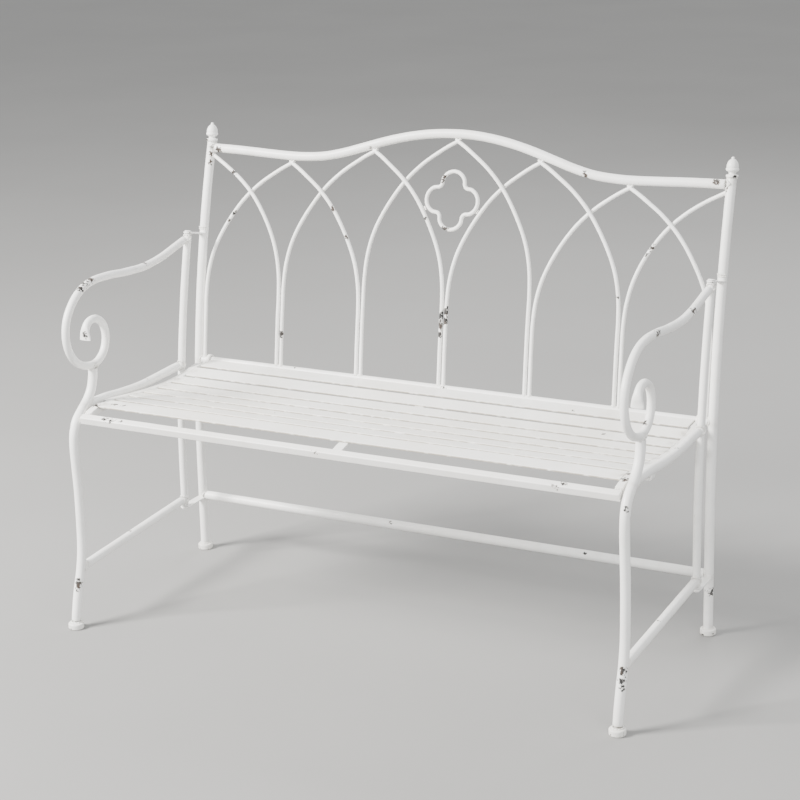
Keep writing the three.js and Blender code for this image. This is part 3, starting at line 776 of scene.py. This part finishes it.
def washerMesh(matrix, sides=40):
    verts, m = [], len(washerOutline)
    for j in range(sides):
        t = 2 * math.pi * j / sides
        for r, h in washerOutline:
            verts.append((r * math.cos(t) / 1000, r * math.sin(t) / 1000, h / 1000))
    faces = ringFaces(sides, m, True)
    t = np.array(matrix)
    return np.array(verts) @ t[:3, :3].T + t[:3, 3], [tuple(reversed(f)) for f in faces]


def uprightY(z):
    return float(backY(z) - uprightLead(z))


for sx, side in ((-1, "left"), (1, "right")):
    slope = (uprightY(721.5) - uprightY(691.5)) / 30
    turn = Matrix.Rotation(-math.atan(slope), 4, "X")
    head = row([sx * halfSpan, uprightY(721.5), 721.5])
    along = np.array([0, math.sin(math.atan(slope)), math.cos(math.atan(slope))])
    lugAt = head + along * 0.004
    # the strap stops at the post, where its end is welded
    verts, faces = plateMesh(lugOutline(9.4, 58.5, 0), 0.0032, 0.0007, Matrix.Translation(Vector(lugAt)) @ turn)
    chips = [(*(lugAt + np.array([0.004, -0.004, 0.004])), 0.005)]
    strap = addMesh(f"{side}_upper_strap", verts, faces, framePaint, chips)
    place(strap, f"{side}_upper_lug", "frame", "frame_paint")
    verts, faces = latheMesh(roundProfile(pinOutline, 0.0005), 36, Matrix.Translation(Vector(head)) @ turn, 91)
    place(addMesh(f"{side}_upper_pivot", verts, faces, framePaint), f"{side}_upper_pin", "frame", "frame_paint")
    verts, faces = washerMesh(Matrix.Translation(Vector(head + along * 0.0006)) @ turn)
    place(addMesh(f"{side}_upper_washer", verts, faces, framePaint), None, "frame", "frame_paint")

    base = row([sx * halfSpan, uprightY(131), 131])
    down = Matrix.Translation(Vector(base - np.array([0, 0, 0.0072])))
    verts, faces = plateMesh(lugOutline(9.4, 64.8, 0), 0.0032, 0.0007, down)
    place(addMesh(f"{side}_lower_strap", verts, faces, framePaint), f"{side}_lower_lug", "frame", "frame_paint")
    flip = Matrix.Translation(Vector(base)) @ Matrix.Rotation(math.pi, 4, "X")
    verts, faces = latheMesh(roundProfile(pinOutline, 0.0005), 36, flip, 92)
    place(addMesh(f"{side}_lower_pivot", verts, faces, framePaint), f"{side}_lower_pin", "frame", "frame_paint")
    verts, faces = washerMesh(Matrix.Translation(Vector(base - np.array([0, 0, 0.0031]))))
    place(addMesh(f"{side}_lower_washer", verts, faces, framePaint), None, "frame", "frame_paint")

    # the bent strap that carries the seat's end bar
    low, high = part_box(f"{side}_seat_rest")
    midY = (low.y + high.y) / 2
    bends = [(0.5605, 0.0016), (0.574, 0.0016), (0.5846, 0.0016), (0.5872, 0.0028), (0.588, 0.0056)]
    strapLine = [(sx * x, midY, low.z + rise) for x, rise in bends] + [(sx * 0.588, midY, high.z - 0.0004)]
    strapPath = smoothPath(np.array(strapLine), 0.0008)
    verts, faces = sweepMesh(strapPath, roundedBox(0.0178, 0.0031, 0.0008, 6, 4), (0, 1, 0), edge=0.0004, seed=95)
    place(addMesh(f"{side}_rest_strap", verts, faces, framePaint), f"{side}_seat_rest", "frame", "frame_paint")
print("fittings made")

# ---- seat ----

seatRise = [
    (-22, 442), (-55, 438.5), (-84, 435), (-143, 433.8), (-201, 436.8), (-255, 442),
    (-312, 449.3), (-364, 455.5), (-390, 456), (-415, 453.3), (-440, 447.6),
]
seatHalf = 575.0
barSize = 16.0
firstSlat, slatPitch = -66.5, 53.6
curve = smoothPath(np.array([(0, y, z) for y, z in seatRise]), 1.5)
curveTangent = np.gradient(curve, axis=0)
curveTangent /= np.linalg.norm(curveTangent, axis=1)[:, None]
curveNormal = np.stack([curveTangent[:, 0], curveTangent[:, 2], -curveTangent[:, 1]], 1)  # points up


def seatAt(y):
    i = int(np.argmin(np.abs(curve[:, 1] - y)))
    return curve[i], curveNormal[i]


slat = {"width": 42, "thick": 4, "corner": 1.35}
slatChips = {2: [(0.869, 8)], 7: [(0.022, 9), (0.04, 7)], 5: [(0.3, 5)]}
for i in range(7):
    centre, normal = seatAt(firstSlat - i * slatPitch)
    normal = -normal if normal[2] < 0 else normal
    mid = centre - normal * 2
    inner = seatHalf - barSize - 0.5
    path = evenPath(row([[-inner, mid[1], mid[2]], [inner, mid[1], mid[2]]]), 0.009)
    # a slat sags and bows by a hair between its ends
    share = np.linspace(-1, 1, len(path))
    path[:, 2] += 0.0004 * (share ** 2 - 1) + 0.00018 * np.sin(share * 7 + i * 1.7)
    profile = roundedBox(slat["thick"] / 1000, slat["width"] / 1000, slat["corner"] / 1000, 9, 4)
    lift = np.array([0, normal[1], normal[2]])
    verts, faces = sweepMesh(path, profile, lift, edge=0.0006, seed=100 + i, rough=0.00013, roughSize=0.07)
    first, span = path[0], path[-1][0] - path[0][0]
    chips = [(first[0] + s * span, first[1], first[2] + 0.002, r / 1000) for s, r in slatChips.get(i + 1, ())]
    # painted shade: the slat ends join the grime spots, so the corners where the slats meet the end bars come out
    # darker
    spots.welds += [(*path[0], 0.013), (*path[-1], 0.013)]
    plank = addMesh(f"seat_slat_plank_{i + 1}", verts, faces, slatPaint, chips)
    place(plank, f"seat_slat_{i + 1}", "seat", "seat_paint")

tilt = math.radians(17)
railMid = row([0, -445, 437])
length = seatHalf / 1000
path = evenPath(np.array([[-length, railMid[1], railMid[2]], [length, railMid[1], railMid[2]]]), 0.008)
lift = np.array([0, -math.sin(tilt), math.cos(tilt)])
squareTube = roundedBox(0.016, 0.016, 0.0022, 5, 5)
verts, faces = sweepMesh(path, squareTube, lift, edge=0.0009, seed=120, rough=0.00014, roughSize=0.06)
# x, ahead of the middle, above it, reach; in mm
frontChips = [(-503, 5, 8, 11), (-520, 2, 8, 8), (-480, 4, 8, 6), (467, 0, 8, 8), (-35, 8, 4, 6), (452, 8, 3, 6)]
chips = [(x / 1000, railMid[1] - y / 1000, railMid[2] + z / 1000, r / 1000) for x, y, z, r in frontChips]
place(addMesh("seat_front_bar", verts, faces, seatPaint, chips), "seat_front_rail", "seat", "seat_paint")

for sx, side in ((-1, "left"), (1, "right")):
    x = sx * (seatHalf - barSize / 2)
    mids = curve - curveNormal * np.sign(curveNormal[:, 2:3]) * barSize / 2
    line = row(np.column_stack([np.full(len(mids), x), mids[:, 1], mids[:, 2]]))
    keep = line[:, 1] - shiftY > -0.4335
    line = evenPath(line[keep], 0.005)
    verts, faces = sweepMesh(line, squareTube, (1, 0, 0), edge=0.0009, seed=130 + sx, rough=0.00014)
    chips = [(line[n][0], line[n][1], line[n][2] + 0.008, reach) for n, reach in ((-6, 0.011), (-12, 0.008))]
    barVerts, barFaces = verts, faces

    # the eye that turns on the back rail: a round band with a short neck down to the bar
    eyeX = sx * 0.560
    ringVerts, sides = [], 48
    outline = [(-3.4, 8.75), (3.4, 8.75), (3.9, 9.2), (4, 11.6), (3.5, 12.3), (0, 12.4), (-3.5, 12.3), (-4, 11.6),
               (-3.9, 9.2)]
    for j in range(sides):
        t = 2 * math.pi * j / sides
        for a, r in outline:
            ringVerts.append((eyeX + a / 1000, hinge[1] + r / 1000 * math.cos(t), hinge[2] + r / 1000 * math.sin(t)))
    ringFace = ringFaces(sides, len(outline), True)
    neck = row([[eyeX * 1000, -27, 434], [eyeX * 1000, -12, 434.6], [eyeX * 1000, 4, 436.6]])
    neckProfile = roundedBox(0.0079, 0.0125, 0.0014, 3, 3)
    neckVerts, neckFaces = sweepMesh(smoothPath(neck, 0.001), neckProfile, (1, 0, 0), seed=140)
    count, extra = len(barVerts), len(ringVerts)
    allVerts = np.concatenate([barVerts, np.array(ringVerts), neckVerts])
    allFaces = list(barFaces) + [tuple(v + count for v in f) for f in ringFace]
    allFaces += [tuple(v + count + extra for v in f) for f in neckFaces]
    endBar = addMesh(f"{side}_seat_end_bar", allVerts, allFaces, seatPaint, chips)
    place(endBar, f"{side}_seat_bar", "seat", "seat_paint")

mids = curve - curveNormal * np.sign(curveNormal[:, 2:3]) * 6.6
line = row(np.column_stack([np.zeros(len(mids)), mids[:, 1], mids[:, 2]]))
at = line[:, 1] - shiftY
line = evenPath(line[(at < -0.0475) & (at > -0.4345)], 0.005)
flatBar = roundedBox(0.02, 0.0039, 0.0011, 5, 4)
verts, faces = sweepMesh(line, flatBar, (1, 0, 0), edge=0.0005, seed=150, rough=0.0001)
chips = [(line[-8][0], line[-8][1], line[-8][2] + 0.002, 0.008)]
place(addMesh("seat_centre_strap", verts, faces, seatPaint, chips), "seat_centre_rib", "seat", "seat_paint")

# the last strip is welded to the back rail and stays down when the seat is lifted
strip = {"half": 553, "at": (-16, 440.6), "tilt": 4, "width": 41.6}
path = evenPath(row([[-strip["half"], *strip["at"]], [strip["half"], *strip["at"]]]), 0.009)
tilt = math.radians(strip["tilt"])
lift = np.array([0, -math.sin(tilt), math.cos(tilt)])
profile = roundedBox(0.004, strip["width"] / 1000, 0.00135, 9, 4)
verts, faces = sweepMesh(path, profile, lift, edge=0.0006, seed=160, rough=0.00013, roughSize=0.07)
chips = [(0.31, path[0][1] - 0.01, path[0][2] + 0.002, 0.005)]
place(addMesh("rear_strip", verts, faces, slatPaint, chips), "rear_slat", "frame", "seat_paint")
print("seat made")

# ---- weld beads ----

xAxis = (1, 0, 0)
for sx in (-1, 1):
    post = smoothPath(postPath(sx, 16.2, postTop), 0.006)

    def postAt(z):
        i = int(np.argmin(np.abs(post[:, 2] - row([0, 0, z])[2])))
        i = min(max(i, 1), len(post) - 2)
        return post[i], post[i + 1] - post[i - 1]

    for z, radius, bead in ((894, 9.3, 1.9), (backRailHeight, 7.9, 1.8), (stretcherHeight, 9.5, 1.9)):
        on, axis = postAt(z)
        y = backY(z) if z != stretcherHeight else 3
        start = row([sx * (halfSpan - 30), y, z])
        weldRing(start, (sx, 0, 0), radius / 1000, on, axis, 0.0095, bead / 1000, seed=200 + int(z))
    # finial base
    on, axis = post[-1], post[-1] - post[-3]
    axis = axis / np.linalg.norm(axis)
    guide = np.cross(axis, (1, 0, 0))
    t = np.linspace(0, 2 * math.pi, 50, endpoint=False)
    around = np.stack([np.cos(t), np.sin(t)], 1)
    circlePoints = on + (around[:, :1] * np.array([1.0, 0, 0]) + around[:, 1:] * guide) * 0.0098 + axis * 0.0014
    beadAlong(circlePoints, 0.0013, True, "frame", 230)
    # feet
    for y in (2, -491):
        c = row([sx * halfSpan, y, 16])
        lead = 0.0012 if y < 0 else 0
        circlePoints = c + np.column_stack([np.cos(t) * 0.0101, np.sin(t) * 0.0101 + lead, np.full(50, 0.0004)])
        beadAlong(circlePoints, 0.0019, True, "frame", 240, "foot_paint", paint=footPaint)

    arm = tubes[("left" if sx < 0 else "right") + "_arm"]
    leg = tubes[("left" if sx < 0 else "right") + "_front_leg"]
    rail = tubes[("left" if sx < 0 else "right") + "_seat_rail"]
    bar = tubes[("left" if sx < 0 else "right") + "_side_stretcher"]
    upright = tubes[("left" if sx < 0 else "right") + "_rear_upright"]

    def nearest(path, point):
        i = int(np.argmin(np.linalg.norm(path - point, axis=1)))
        i = min(max(i, 1), len(path) - 2)
        return path[i], path[i + 1] - path[i - 1]

    joints = [
        (arm[0], arm[0] - arm[4], 8.0, upright, 7.95, 1.7),
        (leg[0], leg[0] - leg[3], 9.5, arm[60:], 8.0, 1.9),
        (rail[0], rail[0] - rail[3], 9.0, upright, 7.95, 1.8),
        (rail[-1], rail[-1] - rail[-4], 9.0, leg, 9.5, 1.9),
        (bar[0], bar[0] - bar[3], 9.0, upright, 7.95, 1.8),
        (bar[-1], bar[-1] - bar[-4], 9.0, leg, 9.5, 1.9),
    ]
    for end, axis, radius, other, otherRadius, bead in joints:
        axis = axis / np.linalg.norm(axis)
        on, along = nearest(other, end + axis * 0.008)
        weldRing(end - axis * 0.02, axis, radius / 1000, on, along, otherRadius / 1000, bead / 1000, seed=260)

    # the straps' ends on the posts
    for z, thick in ((726.5, 3.2), (124.0, 3.2)):
        on, axis = postAt(z)
        arc = np.linspace(math.radians(200), math.radians(340), 24)
        for up in (-0.0004, thick / 1000 + 0.0004):
            line = on + np.column_stack([np.cos(arc) * 0.0101, np.sin(arc) * 0.0101, np.full(24, up - 0.0012)])
            beadAlong(line, 0.0013, False, "frame", 280)

# rods on the back rail, and their points under the top rail
for n, path in rods.items():
    foot = path[-1]
    weldRing(foot + np.array([0, 0, 0.02]), (0, 0, -1), 0.004, hinge, xAxis, 0.0079, 0.0013, seed=300 + n)
    start = path[0]
    axis = path[0] - path[3]
    if n in (1, 12):
        sx = -1 if n == 1 else 1
        post = smoothPath(postPath(sx, 16.2, postTop), 0.006)
        i = int(np.argmin(np.linalg.norm(post - start, axis=1)))
        weldRing(start - axis, axis, 0.004, post[i], post[i + 1] - post[i - 1], 0.0095, 0.0013, seed=320 + n)
    else:
        i = int(np.argmin(np.linalg.norm(topRailFull - (start + np.array([0, 0, 0.012])), axis=1)))
        c = topRailFull[i] - start
        line = np.array([start + c * 0.12 + np.array([0, -0.0038, 0]) * s for s in (1, 0.3, -0.4, -1)])
        beadAlong(line, 0.0024, False, "frame", 330)

# where two rods cross, and where the ring touches the arches
for k in range(6):
    a, b = rods[2 * k + 1], rods[2 * k + 2]
    d = np.linalg.norm(a[:, None, :] - b[None, :, :], axis=2)
    i, j = np.unravel_index(np.argmin(d), d.shape)
    mid = (a[i] + b[j]) / 2
    for dx in (-0.0033, 0.0033):
        line = np.array([mid + (dx, 0, -0.0028), mid + (dx * 1.12, 0, 0), mid + (dx, 0, 0.0028)])
        beadAlong(line, 0.0017, False, "frame", 350)
for n in (5, 8):
    d = np.linalg.norm(rods[n][:, None, :] - ring[None, :, :], axis=2)
    i, j = np.unravel_index(np.argmin(d), d.shape)
    p, q = rods[n][i], ring[j]
    mid = (p + q) / 2
    along = rods[n][i + 1] - rods[n][i - 1]
    along /= np.linalg.norm(along)
    beadAlong(np.array([mid - along * 0.005, mid, mid + along * 0.005]), 0.0019, False, "frame", 360)

# slat ends on the end bars, and the corners of the seat
for i in range(7):
    centre, normal = seatAt(firstSlat - i * slatPitch)
    normal = -normal if normal[2] < 0 else normal
    across = np.array([0, normal[2], -normal[1]])
    mid = row([0, centre[1], centre[2]]) - np.array([0, normal[1], normal[2]]) * 0.0007
    for sx in (-1, 1):
        x = sx * (seatHalf - barSize - 0.4) / 1000
        line = np.array([mid + across * s + np.array([x, 0, 0]) for s in np.linspace(-0.019, 0.019, 9)])
        beadAlong(line, 0.0011, False, "seat", 380, "seat_paint", 0.34, seatPaint)
for sx in (-1, 1):
    x = sx * (seatHalf - barSize / 2) / 1000
    corner = railMid + np.array([x, 0.0078, 0.0082])
    line = np.array([corner + np.array([dx, 0, 0.0012]) for dx in np.linspace(-0.0072, 0.0072, 7)])
    beadAlong(line, 0.0014, False, "seat", 400, "seat_paint", 0.34, seatPaint)
print("welds made:", weldCount[0])

# ---- floor, light and camera ----

def addFloor():
    size = 40.0
    verts = [(-size, -size, 0), (size, -size, 0), (size, size, 0), (-size, size, 0)]
    mesh = bpy.data.meshes.new("floor")
    mesh.from_pydata(verts, [], [(0, 1, 2, 3)])
    floor = bpy.data.objects.new("floor", mesh)
    bpy.context.scene.collection.objects.link(floor)
    material = bpy.data.materials.new("pale floor")
    material.use_nodes = True
    nodes, links = material.node_tree.nodes, material.node_tree.links
    shader = nodes["Principled BSDF"]
    shader.inputs["Roughness"].default_value = 0.8
    where = nodes.new("ShaderNodeTexCoord").outputs["Object"]
    cloud = noiseNode(nodes, links, where, 1.2, 4)
    links.new(mixColour(nodes, links, cloud, (0.25, 0.247, 0.24), (0.29, 0.286, 0.278)), shader.inputs["Base Color"])
    mesh.materials.append(material)


def addLight(name, where, target, size, power, colour):
    data = bpy.data.lights.new(name, "AREA")
    data.shape = "RECTANGLE"
    data.size, data.size_y = size
    data.energy = power
    data.color = colour
    light = bpy.data.objects.new(name, data)
    light.location = where
    light.rotation_mode = "QUATERNION"
    light.rotation_quaternion = (Vector(target) - Vector(where)).to_track_quat("-Z", "Y")
    bpy.context.scene.collection.objects.link(light)


addFloor()
addLight("key light", (-3.0, -2.8, 3.2), (0, 0, 0.5), (1.4, 1.4), 900, (1, 0.985, 0.96))
addLight("fill light", (3.4, -3.4, 2.4), (0, 0, 0.5), (3, 3), 150, (0.96, 0.98, 1))
addLight("back light", (0.6, 3.6, 3.2), (0, 0, 0.6), (3, 2), 130, (1, 1, 1))

world = bpy.data.worlds.new("studio")
bpy.context.scene.world = world
world.use_nodes = True
world.node_tree.nodes["Background"].inputs["Color"].default_value = (0.93, 0.94, 0.95, 1)
world.node_tree.nodes["Background"].inputs["Strength"].default_value = 1.0

view = {
    "where": (1.8496, -3.5518, 1.6953), "yaw": 27.329, "pitch": 14.419, "roll": -1.308,
    "lens": 95.07, "shift": -0.12,
}
yaw, pitch, roll = (math.radians(view[k]) for k in ("yaw", "pitch", "roll"))
forward = Vector((-math.sin(yaw) * math.cos(pitch), math.cos(yaw) * math.cos(pitch), -math.sin(pitch)))
right = Vector((math.cos(yaw), math.sin(yaw), 0))
up = right.cross(forward)
turnedRight = right * math.cos(roll) + up * math.sin(roll)
turnedUp = -right * math.sin(roll) + up * math.cos(roll)
camera = bpy.data.objects.new("camera", bpy.data.cameras.new("camera"))
camera.data.lens = view["lens"]
camera.data.sensor_width = 36
camera.data.shift_y = view["shift"]
camera.data.clip_end = 150
basis = Matrix((turnedRight, turnedUp, -forward)).transposed().to_4x4()
camera.matrix_world = Matrix.Translation(Vector(view["where"])) @ basis
bpy.context.scene.collection.objects.link(camera)
bpy.context.scene.camera = camera

print("scene made")
